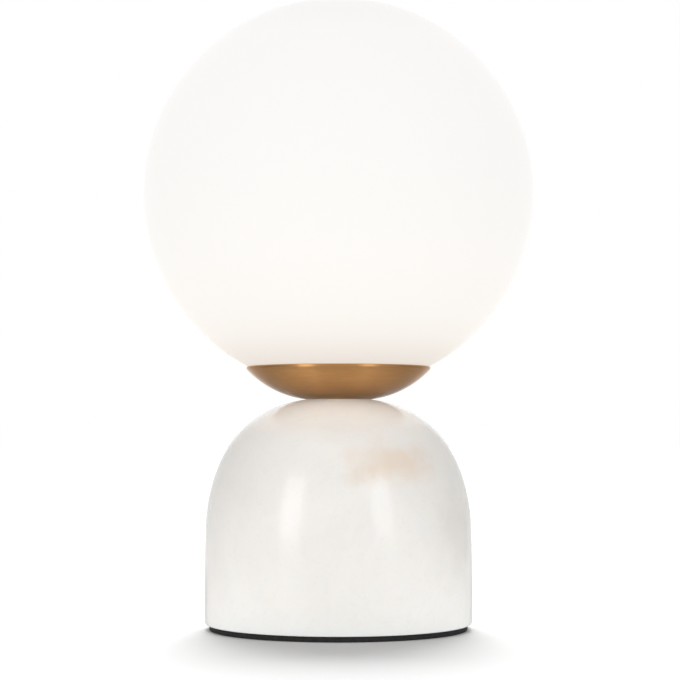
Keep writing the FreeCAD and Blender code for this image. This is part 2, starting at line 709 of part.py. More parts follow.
# ---- bulb ----
def bulb_base():
    plug = slot_ended_block(BULB_PLUG_LENGTH, BULB_PLUG_WIDTH, shoulder_z - plug_z, plug_z)
    foot = BULB_RADIUS - BULB_BASE_FLARE
    cavity = BULB_RADIUS - BULB_BASE_WALL
    floor_z = shoulder_z + BULB_BASE_FLOOR
    cup = revolve(polygon([
        (0, shoulder_z), (foot, shoulder_z), (BULB_RADIUS, floor_z),
        (BULB_RADIUS, bulb_base_top), (cavity, bulb_base_top), (cavity, floor_z), (0, floor_z),
    ]))
    pin_holes = [
        disc(PIN_RADIUS + SCREW_FIT, plug_z, PIN_EMBED, side * PIN_SPACING / 2)
        for side in (-1, 1)
    ]
    return cup.fuse(plug).cut(pin_holes)


def bulb_pins():
    return pair(lambda side: disc(
        PIN_RADIUS, plug_z - PIN_LENGTH, PIN_LENGTH + PIN_EMBED, side * PIN_SPACING / 2
    ))


def bulb_diffuser():
    outer = BULB_RADIUS - DIFFUSER_INSET
    inner = outer - DIFFUSER_WALL
    neck = BULB_RADIUS - BULB_BASE_WALL - SCREW_FIT
    bore = neck - DIFFUSER_WALL
    neck_z = bulb_base_top - DIFFUSER_NECK
    shelf_z = bulb_base_top + DIFFUSER_WALL
    dome_z = shoulder_z + BULB_HEIGHT - outer
    dome = (0, dome_z)
    return revolve([
        line((bore, neck_z), (neck, neck_z)),
        line((neck, neck_z), (neck, bulb_base_top)),
        line((neck, bulb_base_top), (outer, bulb_base_top)),
        line((outer, bulb_base_top), (outer, dome_z)),
        arc((outer, dome_z), (0, dome_z + outer), dome),
        line((0, dome_z + outer), (0, dome_z + inner)),
        arc((0, dome_z + inner), (inner, dome_z), dome),
        line((inner, dome_z), (inner, shelf_z)),
        line((inner, shelf_z), (bore, shelf_z)),
        line((bore, shelf_z), (bore, neck_z)),
    ])


def bulb_board():
    foot = shoulder_z + BULB_BASE_FLOOR
    top = shoulder_z + BULB_HEIGHT - BOARD_HEADROOM
    return box(BOARD_WIDTH, BOARD_THICKNESS, top - foot, 0, 0, foot)


# ---- leads, from the contacts down the stem to the terminal block ----
def lead(side):
    """side is -1 for the lead to the near pole of the block and 1 for the far one."""
    contact_x = side * PIN_SPACING / 2
    stem_x = side * LEAD_SPACING / 2
    pole_x = block_x + side * BLOCK_POLE_PITCH / 2
    loop_y = -BLOCK_LENGTH / 2 - LEAD_REACH
    loop_z = stem_bottom - LEAD_DROP
    route = [
        Vector(contact_x, 0, ceramic_z + CONTACT_LIFT),
        Vector(contact_x, 0, ceramic_z - LEAD_TUCK),
        Vector(stem_x, 0, stem_top + LEAD_TUCK / 2),
        Vector(stem_x, 0, loop_z),
        Vector(pole_x, loop_y, loop_z),
        Vector(pole_x, loop_y, barrel_z),
        Vector(pole_x, -BLOCK_LENGTH / 2 + LEAD_GRIP, barrel_z),
    ]
    path = Part.Wire(rounded_path(route, LEAD_BEND))
    section = Part.Wire(Part.makeCircle(LEAD_RADIUS, route[0], UP))
    return path.makePipeShell([section], True, False)


def lead_live():
    return lead(1)


def lead_neutral():
    return lead(-1)


SUB_PARTS = (
    marble_base, base_pad, cable_bush, base_cover, cover_screws, base_strap,
    terminal_block, terminal_sleeves, terminal_screws, block_fixing_screw,
    stem_tube, bottom_lock_washer, bottom_nut, top_lock_washer, top_nut,
    globe_cup, gallery_sleeve, seat_ring, glass_globe, globe_collar,
    holder_strap, holder_body, holder_contacts, holder_screws,
    bulb_base, bulb_pins, bulb_diffuser, bulb_board, lead_live, lead_neutral,
)


def main():
    os.makedirs("parts", exist_ok=True)
    for make in SUB_PARTS:
        make().exportStep(os.path.join("parts", make.__name__ + ".step"))


main()
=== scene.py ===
"""Looks of the globe table lamp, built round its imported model. Metres, +Z up, front at -Y."""

import math

import bmesh
import bpy
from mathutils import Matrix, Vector


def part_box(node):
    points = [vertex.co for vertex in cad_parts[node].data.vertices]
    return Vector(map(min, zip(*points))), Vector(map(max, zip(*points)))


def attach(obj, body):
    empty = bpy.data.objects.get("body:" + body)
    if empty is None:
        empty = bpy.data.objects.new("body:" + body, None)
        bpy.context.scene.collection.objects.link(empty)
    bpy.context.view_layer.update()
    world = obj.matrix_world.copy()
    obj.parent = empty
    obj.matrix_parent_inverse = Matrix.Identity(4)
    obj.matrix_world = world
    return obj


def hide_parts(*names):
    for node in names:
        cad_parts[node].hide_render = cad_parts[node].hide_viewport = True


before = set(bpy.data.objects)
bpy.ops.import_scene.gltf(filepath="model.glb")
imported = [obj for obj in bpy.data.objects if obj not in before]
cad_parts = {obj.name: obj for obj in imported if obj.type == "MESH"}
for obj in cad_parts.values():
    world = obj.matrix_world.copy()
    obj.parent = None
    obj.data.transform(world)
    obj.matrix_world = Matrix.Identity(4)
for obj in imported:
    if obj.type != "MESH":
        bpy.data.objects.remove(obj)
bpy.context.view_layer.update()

MM = 0.001

# ---- the photograph's viewpoint ----
SENSOR_WIDTH = 36.0
LENS = 104.36
CAMERA_PLACE = (0.58 * MM, -757.9 * MM, 74.8 * MM)
CAMERA_PITCH = 2.705                # degrees above the horizon

# ---- studio ----
# Brightness round the lamp, from straight behind it (0) to the camera's side (1): a white
# backdrop, dark flags at both sides and a white room in front.
SURROUNDINGS = (
    (0.0, 1.0), (0.04, 0.70), (0.2, 0.40), (0.45, 0.30), (0.6, 0.38), (0.8, 0.61), (1.0, 0.69),
)
OVERHEAD = 0.92
OVERHEAD_FROM = 0.2                 # sine of the elevation where the ceiling begins to count
FLOOR_WHITE = 0.52
FLOOR_MIRRORED = 0.24               # the floor as it shows in reflections
FLOOR_FILL = 0.75                   # light the floor adds to the lamp's foot
FLOOR_FILL_SPAN = (0.15, 0.05)      # distances where that light begins and where it is full
FLOOR_LIFT = 0.75                   # the floor's own brightness far away, to the camera
FLOOR_LIFT_SPAN = (0.22, 1.1)       # distances where that brightness begins and where it is full
# The floor is a white strip that widens away from the camera: (distance behind, half width).
FLOOR_EDGES = ((-0.32, 0.15), (0.0, 0.15), (9.0, 1.95))
AIM_HEIGHT = 80 * MM                # point on the lamp's axis that every light faces
# azimuth from the camera's side, positive to the right; elevation; distance; size; power in watts
SOFTBOXES = (
    (-41.0, 14.2, 1.25, (0.40, 0.84), 2.3),
    (38.0, 14.2, 1.25, (0.38, 0.80), 1.6),
    (0.0, 80.0, 1.30, (0.9, 0.9), 1.5),
)
# Soft light from behind, on the floor alone; a sun's distance changes nothing.
FLOOR_LIGHT_AZIMUTHS = (168.0, 180.0, 192.0)
FLOOR_LIGHT_ELEVATION = 42.0
FLOOR_LIGHT_DISTANCE = 2.0
FLOOR_LIGHT_SPREAD = 38.0
FLOOR_LIGHT_STRENGTH = 2.1
# The lit globe's light on the marble under the cup
GLOBE_LIGHT_HEIGHT = 131 * MM
GLOBE_LIGHT_RADIUS = 16 * MM
GLOBE_LIGHT_POWER = 0.11            # watts
GLOBE_LIGHT_COLOUR = (1.0, 0.93, 0.87)

# ---- forms finished here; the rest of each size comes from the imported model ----
ROUND_STEPS = 256                   # segments round the lamp's axis
THREADED_STEPS = 128                # the same on threaded pieces
GLOBE_ARC_STEPS = 140               # from the globe's mouth to its top
SHARP_ANGLE = 30.0                  # degrees; edges that turn more stay sharp
TOUCHING = 1e-6                     # lengths this close count as equal
CORNER_STEP = 1.0 * MM              # from a corner to the first ring of an even row
ARC_STEP = 0.5                      # degrees, from a small rounding to the globe's own curve
POLE_ANGLE = 89.4                   # degrees, the globe's last ring before its pole
FOOT_HEIGHT = 35.0 * MM             # straight part of the marble's side
FOOT_ROUND = 1.2 * MM
SIDE_ARC_RADIUS = 67.4 * MM
SIDE_ARC_ANGLE = 21.6
SHOULDER_STEP = 2.0                 # degrees, from the side's arc to the shoulder's first ring
SEAT_INSET = 0.7 * MM
STEM_HOLE_RADIUS = 5.5 * MM
RECESS_RADIUS = 31.3 * MM
RECESS_DEPTH = 27.0 * MM
COVER_GAP = 0.3 * MM
SPOT_GAP = 0.4 * MM
SPOT_DEPTH = 1.2 * MM
BUSH_WALL = 1.6 * MM
BUSH_BORE = 3.2 * MM
BUSH_FIT = 0.1 * MM
CUP_FLOOR_RADIUS = 12.5 * MM
CUP_FLOOR_RING = 10.0 * MM          # extra ring on the flat of the floor
CUP_ARC_RADIUS = 37.3 * MM
CUP_WALL = 1.1 * MM
CUP_BAND = 0.85 * MM
CUP_BAND_STEP = 0.3 * MM            # from the band's foot to its first ring
CUP_RIM_GAP = 0.3 * MM              # bevelled rim to the glass
CUP_RIM_LAND = 0.2 * MM
CUP_RIM_ROUND = 0.12 * MM
BEVEL_SEARCH_STEP = 0.005 * MM
BEVEL_STEP = 0.2                    # degrees, from the bevel to the inner curve's first ring
SHEET_HOLE_RADIUS = 5.2 * MM        # hole for the stem in the cup and the sleeve
GLOBE_WALL = 3.0 * MM
MOUTH_RADIUS = 16.2 * MM
MOUTH_ROUND = 1.0 * MM
BOND_GAP = 0.2 * MM                 # adhesive between collar and glass
PAD_ROUND = 0.4 * MM
SLEEVE_WALL = 1.5 * MM
SLEEVE_FOOT_STEP = 1.53 * MM        # crest of the thread to the edge of the flat foot
THREAD_FOOT = 6.0 * MM              # plain part of the sleeve below its thread
THREAD_END = 0.6 * MM               # plain part above it
THREAD_PITCH = 3.0 * MM
THREAD_DEPTH = 0.6 * MM
COLLAR_BORE = 13.8 * MM
COLLAR_NECK = 16.0 * MM
COLLAR_RIDGE = 0.25 * MM
COLLAR_LEAD = 0.4 * MM              # plain start of the collar's bore


# ---- mesh helpers ----
def shade(mesh):
    mesh.shade_smooth()
    mesh.set_sharp_from_angle(angle=math.radians(SHARP_ANGLE))


def new_piece(name, verts, faces):
    mesh = bpy.data.meshes.new(name)
    mesh.from_pydata(verts, [], faces)
    tidy = bmesh.new()
    tidy.from_mesh(mesh)
    bmesh.ops.recalc_face_normals(tidy, faces=tidy.faces)
    tidy.to_mesh(mesh)
    tidy.free()
    shade(mesh)
    piece = bpy.data.objects.new(name, mesh)
    bpy.context.scene.collection.objects.link(piece)
    return piece


def arc(centre, radius, start, end, steps):
    """Points of an arc in the (radius, height) plane; angles in degrees from straight out."""
    angles = [math.radians(start + (end - start) * i / steps) for i in range(steps + 1)]
    return [(centre[0] + radius * math.cos(a), centre[1] + radius * math.sin(a)) for a in angles]


def bearing(centre, point):
    """Angle in degrees of a point seen from a centre, as arc() takes it."""
    return math.degrees(math.atan2(point[1] - centre[1], point[0] - centre[0]))


def rows(start, end, count):
    """Points along a straight line, both ends included."""
    return [
        tuple(a + (b - a) * i / count for a, b in zip(start, end)) for i in range(count + 1)
    ]


def lathe(name, outline, shape=None, steps=ROUND_STEPS):
    """Revolve a closed (radius, height) outline about the lamp's axis.

    Points on the axis become single poles. shape(radius, height, angle) may change a radius.
    """
    verts = []
    rings = []
    for r, z in outline:
        if r < TOUCHING:
            rings.append([len(verts)] * steps)
            verts.append((0.0, 0.0, z))
            continue
        rings.append(range(len(verts), len(verts) + steps))
        for i in range(steps):
            a = 2 * math.pi * i / steps
            bent = shape(r, z, a) if shape else r
            verts.append((bent * math.cos(a), bent * math.sin(a), z))
    faces = []
    for lower, upper in zip(rings, rings[1:] + rings[:1]):
        for i in range(steps):
            j = (i + 1) % steps
            corners = list(dict.fromkeys((lower[i], lower[j], upper[j], upper[i])))
            if len(corners) > 2:
                faces.append(corners)
    return new_piece(name, verts, faces)


def thread(crest, depth, start, end, male):
    """A screw thread for lathe(): radii near the crest follow a ridge that climbs round."""
    def shape(r, z, a):
        if abs(r - crest) > TOUCHING or not start <= z <= end:
            return r
        ease = min(1.0, (z - start) / THREAD_PITCH, (end - z) / THREAD_PITCH)
        groove = 0.5 - 0.5 * math.cos(2 * math.pi * z / THREAD_PITCH - a)
        return r - depth * ease * (groove if male else 1 - groove)
    return shape


def drill(piece, radius, start_y, end_y, z, steps=96):
    """Cut a round hole along Y out of a piece."""
    verts = []
    for y in (start_y, end_y):
        for i in range(steps):
            a = 2 * math.pi * i / steps
            verts.append((radius * math.cos(a), y, z + radius * math.sin(a)))
    faces = [list(range(steps)), list(range(steps, 2 * steps))]
    for i in range(steps):
        j = (i + 1) % steps
        faces.append((i, j, j + steps, i + steps))
    tool = new_piece("drill", verts, faces)
    cut = piece.modifiers.new("hole", "BOOLEAN")
    cut.operation = "DIFFERENCE"
    cut.solver = "EXACT"
    cut.object = tool
    seen = piece.evaluated_get(bpy.context.evaluated_depsgraph_get())
    mesh = bpy.data.meshes.new_from_object(seen)
    piece.modifiers.clear()
    piece.data = mesh
    shade(mesh)
    bpy.data.objects.remove(tool)


def stand_in(piece, node, body, slot):
    """The piece takes a node's place, on the node's body and in its material slot."""
    piece.data.materials.clear()
    piece.data.materials.append(FINISHES[slot])
    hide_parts(node)
    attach(piece, body)


# ---- node helpers; a value may be a constant or another node's output ----
def connect(tree, value, socket):
    if isinstance(value, bpy.types.NodeSocket):
        tree.links.new(value, socket)
    elif isinstance(value, tuple):
        socket.default_value = (*value, 1.0)
    else:
        socket.default_value = value


def math_node(tree, operation, a, b=0.5):
    node = tree.nodes.new("ShaderNodeMath")
    node.operation = operation
    for socket, value in zip(node.inputs, (a, b)):
        connect(tree, value, socket)
    return node.outputs["Value"]


def map_range(tree, value, from_span=(0.0, 1.0), to_span=(0.0, 1.0)):
    """Map a value from one span to another; past its ends it stays at the ends."""
    node = tree.nodes.new("ShaderNodeMapRange")
    for name, end in zip(("From Min", "From Max", "To Min", "To Max"), (*from_span, *to_span)):
        node.inputs[name].default_value = end
    tree.links.new(value, node.inputs["Value"])
    return node.outputs["Result"]


def ramp_node(tree, value, stops, interpolation="LINEAR"):
    """Map a value to greys or colours through (position, shade) stops."""
    node = tree.nodes.new("ShaderNodeValToRGB")
    node.color_ramp.interpolation = interpolation
    elements = node.color_ramp.elements
    while len(elements) < len(stops):
        elements.new(0.5)
    for element, (position, tone) in zip(elements, stops):
        element.position = position
        element.color = (*tone, 1.0) if isinstance(tone, tuple) else (tone,) * 3 + (1.0,)
    tree.links.new(value, node.inputs["Fac"])
    return node.outputs["Color"]


def axes(tree, vector):
    """The X, Y and Z of a vector."""
    node = tree.nodes.new("ShaderNodeSeparateXYZ")
    tree.links.new(vector, node.inputs["Vector"])
    return node.outputs["X"], node.outputs["Y"], node.outputs["Z"]


def length_of(tree, vector):
    node = tree.nodes.new("ShaderNodeVectorMath")
    node.operation = "LENGTH"
    tree.links.new(vector, node.inputs[0])
    return node.outputs["Value"]


def off_axis(tree, x, y):
    """Distance from the vertical axis."""
    squares = [math_node(tree, "MULTIPLY", side, side) for side in (x, y)]
    return math_node(tree, "SQRT", math_node(tree, "ADD", *squares))


class Finish:
    """A Principled material with a few shorthands for procedural detail."""

    def __init__(self, name, colour, roughness=0.5, metallic=0.0, **sockets):
        self.material = bpy.data.materials.new(name)
        self.material.use_nodes = True
        self.tree = self.material.node_tree
        self.shader = self.tree.nodes["Principled BSDF"]
        self.shader.inputs["Base Color"].default_value = (*colour, 1.0)
        self.shader.inputs["Roughness"].default_value = roughness
        self.shader.inputs["Metallic"].default_value = metallic
        for socket, value in sockets.items():
            self.shader.inputs[socket.replace("_", " ")].default_value = value
        self.place = self.add("ShaderNodeTexCoord").outputs["Object"]

    def add(self, kind, **settings):
        node = self.tree.nodes.new(kind)
        for key, value in settings.items():
            setattr(node, key, value)
        return node

    def link(self, source, target):
        self.tree.links.new(source, target)

    def stretched(self, scale, place):
        mapping = self.add("ShaderNodeMapping")
        mapping.inputs["Scale"].default_value = scale
        self.link(place, mapping.inputs["Vector"])
        return mapping.outputs["Vector"]

    def noise(self, size, detail=3.0, roughness=0.5, distortion=0.0, place=None):
        """Noise whose lumps are about the given size in metres."""
        node = self.add("ShaderNodeTexNoise")
        node.inputs["Scale"].default_value = 1.0 / size
        node.inputs["Detail"].default_value = detail
        node.inputs["Roughness"].default_value = roughness
        node.inputs["Distortion"].default_value = distortion
        self.link(place or self.place, node.inputs["Vector"])
        return node.outputs["Fac"]

    def ramp(self, value, stops, interpolation="LINEAR"):
        return ramp_node(self.tree, value, stops, interpolation)

    def math(self, operation, a, b=0.5):
        return math_node(self.tree, operation, a, b)

    def mix(self, factor, a, b):
        """Mix two colours."""
        node = self.add("ShaderNodeMix", data_type="RGBA")
        sockets = {s.identifier: s for s in node.inputs}
        for key, value in (("Factor_Float", factor), ("A_Color", a), ("B_Color", b)):
            connect(self.tree, value, sockets[key])
        return next(s for s in node.outputs if s.identifier == "Result_Color")

    def set_colour(self, output):
        self.link(output, self.shader.inputs["Base Color"])

    def set_roughness(self, value, low, high):
        spread = map_range(self.tree, value, to_span=(low, high))
        self.link(spread, self.shader.inputs["Roughness"])

    def set_bump(self, height, depth, strength):
        """depth is the height of the relief in metres."""
        node = self.add("ShaderNodeBump")
        node.inputs["Strength"].default_value = strength
        node.inputs["Distance"].default_value = depth
        self.link(height, node.inputs["Height"])
        self.link(node.outputs["Normal"], self.shader.inputs["Normal"])


def shades(colour, spread):
    """Three stops of one colour, from darker to lighter."""
    return [
        (0.3, tuple(c * (1 - spread) for c in colour)),
        (0.5, colour),
        (0.7, tuple(min(c * (1 + spread), 1.0) for c in colour)),
    ]


# ---- materials ----
MARBLE_WHITE = (0.865, 0.845, 0.812)
MARBLE_LIGHT = (0.878, 0.859, 0.829)
MARBLE_SHADE = (0.85, 0.829, 0.794)
MARBLE_WARM = (0.80, 0.655, 0.515)
MARBLE_GREY = (0.66, 0.645, 0.62)
CLOUD_SIZE = 32 * MM
VEIN_FIELD_SIZE = 50 * MM
PATCH_EDGE_SIZE = 11 * MM
PATCH_RAGGEDNESS = 0.8
PATCH_FADE = 0.35                   # strength near a patch's edge, as a share of its middle's
SPECK_SIZE = 1.6 * MM
# centre, half sizes, strength and colour of each tinted patch in the marble
PATCHES = (
    ((0.0215, -0.040, 0.0642), (0.0205, 0.020, 0.0083), 0.62, MARBLE_WARM),
    ((0.0060, -0.043, 0.0585), (0.0065, 0.015, 0.0040), 0.36, MARBLE_WARM),
    ((-0.030, 0.034, 0.050), (0.020, 0.016, 0.010), 0.40, MARBLE_WARM),
    ((0.0450, -0.026, 0.0360), (0.0160, 0.022, 0.0190), 0.36, MARBLE_GREY),
)


def patch(look, base, edge_noise, centre, reach, strength, colour):
    """Tint the marble inside a ragged oval region."""
    away = look.add("ShaderNodeVectorMath", operation="SUBTRACT")
    look.link(look.place, away.inputs[0])
    away.inputs[1].default_value = centre
    scale = tuple(1.0 / r for r in reach)
    length = length_of(look.tree, look.stretched(scale, away.outputs["Vector"]))
    ragged = look.math("ADD", look.math("MULTIPLY", length, 0.5), edge_noise)
    inside = look.ramp(ragged, [(0.55, strength), (0.8, PATCH_FADE * strength), (1.0, 0.0)])
    return look.mix(inside, base, colour)


def marble_material():
    look = Finish("polished_marble", MARBLE_WHITE, roughness=0.18, Coat_Weight=0.32,
                  Coat_Roughness=0.1, Subsurface_Weight=0.5,
                  Subsurface_Radius=(14 * MM, 11 * MM, 9 * MM), Subsurface_Scale=1.0)
    clouds = look.noise(CLOUD_SIZE, detail=5, roughness=0.6, distortion=1.2)
    base = look.ramp(clouds, [(0.3, MARBLE_SHADE), (0.5, MARBLE_WHITE), (0.7, MARBLE_LIGHT)])
    # Thin grey veins run where a warped noise crosses its middle value.
    field = look.noise(VEIN_FIELD_SIZE, detail=6, roughness=0.58, distortion=2.2)
    crossing = look.math("ABSOLUTE", look.math("SUBTRACT", field, 0.5))
    veins = look.ramp(crossing, [(0.0, 0.07), (0.012, 0.025), (0.03, 0.0)])
    base = look.mix(veins, base, MARBLE_GREY)
    edge = look.noise(PATCH_EDGE_SIZE, detail=4, roughness=0.6)
    edge_noise = look.math("MULTIPLY", edge, PATCH_RAGGEDNESS)
    for centre, reach, strength, colour in PATCHES:
        base = patch(look, base, edge_noise, centre, reach, strength, colour)
    specks = look.ramp(look.noise(SPECK_SIZE, detail=2), [(0.3, 0.10), (0.4, 0.0)])
    look.set_colour(look.mix(specks, base, MARBLE_GREY))
    look.set_roughness(look.noise(6 * MM, detail=3), low=0.15, high=0.21)
    look.set_bump(look.noise(2.2 * MM, detail=2), depth=0.02 * MM, strength=0.2)
    return look.material


GLASS_WHITE = (0.20, 0.197, 0.194)
GLOW_STRENGTH = 0.82
GLOW_SPAN = (98 * MM, 242 * MM)     # heights of the ends of the glow's ramp
# The lamp's glow up the globe, with painted shade towards both ends and a painted warm reflection
# of the brass cup at its foot.
GLOW_WITH_PAINTED_SHADE = (
    (0.0, (0.73, 0.645, 0.56)), (0.09, (0.95, 0.905, 0.85)), (0.26, (0.99, 0.968, 0.935)),
    (0.5, (0.97, 0.955, 0.935)), (0.86, (0.93, 0.912, 0.896)), (1.0, (0.81, 0.798, 0.788)),
)


def opal_glass_material():
    look = Finish("opal_glass", GLASS_WHITE, roughness=0.42, Subsurface_Weight=0.2,
                  Subsurface_Radius=(3 * MM, 3 * MM, 3 * MM), Subsurface_Scale=1.0,
                  Emission_Strength=GLOW_STRENGTH, Specular_IOR_Level=0.02)
    # The lit glass glows softly. Its dimmer ends are painted shade, and its warmer, dimmer foot is
    # a painted warm reflection of the brass cup with painted shade from the collar.
    height = axes(look.tree, look.place)[2]
    glow = look.ramp(map_range(look.tree, height, GLOW_SPAN), GLOW_WITH_PAINTED_SHADE, "B_SPLINE")
    look.link(glow, look.shader.inputs["Emission Color"])
    look.set_colour(look.ramp(look.noise(30 * MM, detail=2), shades(GLASS_WHITE, spread=0.006)))
    look.set_roughness(look.noise(4 * MM, detail=3), low=0.38, high=0.46)
    look.set_bump(look.noise(0.7 * MM, detail=2), depth=0.01 * MM, strength=0.3)
    return look.material


BRASS = (0.64, 0.341, 0.135)
# the brass as it looks in painted shade, low on the bowl
BRASS_IN_PAINTED_SHADE = tuple(0.3 * c for c in BRASS)
BRUSH_LINE = 0.22 * MM              # width of the finest brushed lines
BRUSH_BAND = 1.6 * MM               # width of the broader bands between them
BRUSH_TURN = 1.2 * MM               # how far the pattern moves for each radian round the lamp
BRUSH_BAND_SHARE = 0.35
CUP_SHADE_SPAN = (87.8 * MM, 97.8 * MM)   # heights of the ends of the cup's painted shade
# Painted shade on the cup: how far the brass darkens at each height, strongest at the bottom of
# the bowl.
CUP_PAINTED_SHADE = ((0.0, 1.0), (0.15, 0.85), (0.3, 0.60), (0.5, 0.34), (0.75, 0.13), (1.0, 0.0))


def spun_brass_material():
    look = Finish("spun_brass", BRASS, roughness=0.36, metallic=1.0, Anisotropic=0.97,
                  Anisotropic_Rotation=0.25)
    # Brushing runs round the axis: fine across radius and height, long round the lamp.
    x, y, z = axes(look.tree, look.place)
    polar = look.add("ShaderNodeCombineXYZ")
    look.link(off_axis(look.tree, x, y), polar.inputs["X"])
    look.link(z, polar.inputs["Y"])
    look.link(look.math("MULTIPLY", look.math("ARCTAN2", y, x), BRUSH_TURN), polar.inputs["Z"])
    lines = look.noise(BRUSH_LINE, detail=3, roughness=0.65, place=polar.outputs["Vector"])
    bands = look.noise(BRUSH_BAND, detail=2, place=polar.outputs["Vector"])
    fine = look.ramp(lines, shades(BRASS, spread=0.2))
    mottled = look.mix(BRUSH_BAND_SHARE, fine, look.ramp(bands, shades(BRASS, spread=0.12)))
    # Painted shade: the brass is darker low on the bowl, standing in for the shaded marble that it
    # reflects there.
    painted_shade = look.ramp(map_range(look.tree, z, CUP_SHADE_SPAN), CUP_PAINTED_SHADE)
    look.set_colour(look.mix(painted_shade, mottled, BRASS_IN_PAINTED_SHADE))
    look.set_roughness(lines, low=0.31, high=0.41)
    look.set_bump(lines, depth=0.012 * MM, strength=0.5)
    tangent = look.add("ShaderNodeTangent", direction_type="RADIAL", axis="Z")
    look.link(tangent.outputs["Tangent"], look.shader.inputs["Tangent"])
    return look.material


def foam_rubber_material():
    black = (0.012, 0.011, 0.011)
    look = Finish("foam_rubber", black, roughness=0.85)
    look.set_colour(look.ramp(look.noise(1.2 * MM, detail=4), shades(black, spread=0.5)))
    look.set_bump(look.noise(0.6 * MM, detail=3), depth=0.08 * MM, strength=0.8)
    return look.material


def metal(name, colour, roughness):
    """Plated or turned metal with a faint grain and small stains."""
    look = Finish(name, colour, roughness=roughness, metallic=1.0)
    stains = look.noise(4 * MM, detail=4, roughness=0.6)
    look.set_colour(look.ramp(stains, shades(colour, spread=0.12)))
    look.set_roughness(look.noise(0.9 * MM, detail=3), low=roughness * 0.8, high=roughness * 1.3)
    look.set_bump(look.noise(0.54 * MM, detail=2), depth=0.01 * MM, strength=0.4)
    return look.material


def moulded(name, colour, roughness, relief=0.02 * MM):
    """Moulded plastic, ceramic or rubber with a fine skin."""
    look = Finish(name, colour, roughness=roughness)
    look.set_colour(look.ramp(look.noise(6 * MM, detail=3), shades(colour, spread=0.025)))
    look.set_roughness(look.noise(2 * MM, detail=2), low=roughness * 0.85, high=roughness * 1.15)
    look.set_bump(look.noise(0.5 * MM, detail=2), depth=relief, strength=0.4)
    return look.material


FINISHES = {
    "marble": marble_material(),
    "pad": foam_rubber_material(),
    "bush": moulded("bush_rubber", (0.03, 0.03, 0.032), 0.55),
    "zinc_steel": metal("zinc_steel", (0.60, 0.61, 0.62), 0.34),
    "screw_steel": metal("screw_steel", (0.55, 0.55, 0.56), 0.28),
    "block_plastic": moulded("block_plastic", (0.82, 0.81, 0.78), 0.42),
    "terminal_brass": metal("terminal_brass", (0.66, 0.50, 0.22), 0.3),
    "cup_brass": spun_brass_material(),
    "sleeve_aluminium": metal("sleeve_aluminium", (0.74, 0.74, 0.75), 0.3),
    "silicone": moulded("silicone", (0.80, 0.80, 0.79), 0.6),
    "opal_glass": opal_glass_material(),
    "collar_plastic": moulded("collar_plastic", (0.86, 0.85, 0.83), 0.45),
    "holder_ceramic": moulded("holder_ceramic", (0.86, 0.85, 0.82), 0.22, relief=0.03 * MM),
    "bulb_plastic": moulded("bulb_plastic", (0.87, 0.87, 0.86), 0.4),
    "bulb_milky": moulded("bulb_milky", (0.90, 0.895, 0.88), 0.5, relief=0.01 * MM),
    "board": moulded("board", (0.80, 0.82, 0.80), 0.5),
    "pin_metal": metal("pin_metal", (0.70, 0.69, 0.67), 0.25),
    "lead_brown": moulded("lead_brown", (0.10, 0.045, 0.02), 0.5),
    "lead_blue": moulded("lead_blue", (0.02, 0.09, 0.32), 0.5),
}


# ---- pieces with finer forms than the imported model's ----
def marble_form():
    low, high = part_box("marble_base")
    radius = high.x
    side_centre = (radius - SIDE_ARC_RADIUS, low.z + FOOT_HEIGHT)
    angle = math.radians(SIDE_ARC_ANGLE)
    outward = (math.cos(angle), math.sin(angle))
    shoulder = tuple(c + SIDE_ARC_RADIUS * o for c, o in zip(side_centre, outward))
    # The shoulder's arc leaves the side's without a corner and ends at the edge of the seat.
    seat_edge = (CUP_FLOOR_RADIUS - SEAT_INSET, high.z)
    across = tuple(s - e for s, e in zip(shoulder, seat_edge))
    along = across[0] * outward[0] + across[1] * outward[1]
    shoulder_radius = (across[0] ** 2 + across[1] ** 2) / (2 * along)
    shoulder_centre = tuple(s - shoulder_radius * o for s, o in zip(shoulder, outward))
    foot_centre = (radius - FOOT_ROUND, low.z + FOOT_ROUND)
    cover_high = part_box("base_cover")[1]
    cover_seat = cover_high.x + COVER_GAP
    recess_top = low.z + RECESS_DEPTH
    outline = [
        (STEM_HOLE_RADIUS, high.z), (STEM_HOLE_RADIUS, recess_top), (RECESS_RADIUS, recess_top),
        *rows((RECESS_RADIUS, recess_top - CORNER_STEP), (RECESS_RADIUS, cover_high.z),
              count=10),
        (cover_seat, cover_high.z), (cover_seat, low.z),
        *arc(foot_centre, FOOT_ROUND, -90, 0, steps=6),
        *rows((radius, low.z + 2 * FOOT_ROUND), (radius, side_centre[1] - CORNER_STEP), count=16),
        *arc(side_centre, SIDE_ARC_RADIUS, 0, SIDE_ARC_ANGLE, steps=14),
        *arc(shoulder_centre, shoulder_radius, SIDE_ARC_ANGLE + SHOULDER_STEP,
             bearing(shoulder_centre, seat_edge), steps=32),
    ]
    piece = lathe("marble_dome", outline)
    bush_low, bush_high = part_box("cable_bush")
    bush_z = (bush_low.z + bush_high.z) / 2
    drill(piece, BUSH_BORE + BUSH_WALL + BUSH_FIT, 0.0, 2 * radius, bush_z)
    drill(piece, bush_high.x + SPOT_GAP, radius - SPOT_DEPTH, 2 * radius, bush_z)
    stand_in(piece, "marble_base", "lamp_base", "marble")


def pad_form():
    low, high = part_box("base_pad")
    rim = high.x - PAD_ROUND
    middle = rim / 2
    outline = [
        (0.0, low.z), (middle, low.z),
        *arc((rim, low.z + PAD_ROUND), PAD_ROUND, -90, 0, steps=4),
        *arc((rim, high.z - PAD_ROUND), PAD_ROUND, 0, 90, steps=4),
        (middle, high.z), (0.0, high.z),
    ]
    stand_in(lathe("foam_pad", outline), "base_pad", "lamp_base", "pad")


def globe_size():
    """Radius of the globe and the height of its centre."""
    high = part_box("glass_globe")[1]
    return high.x, high.z - high.x


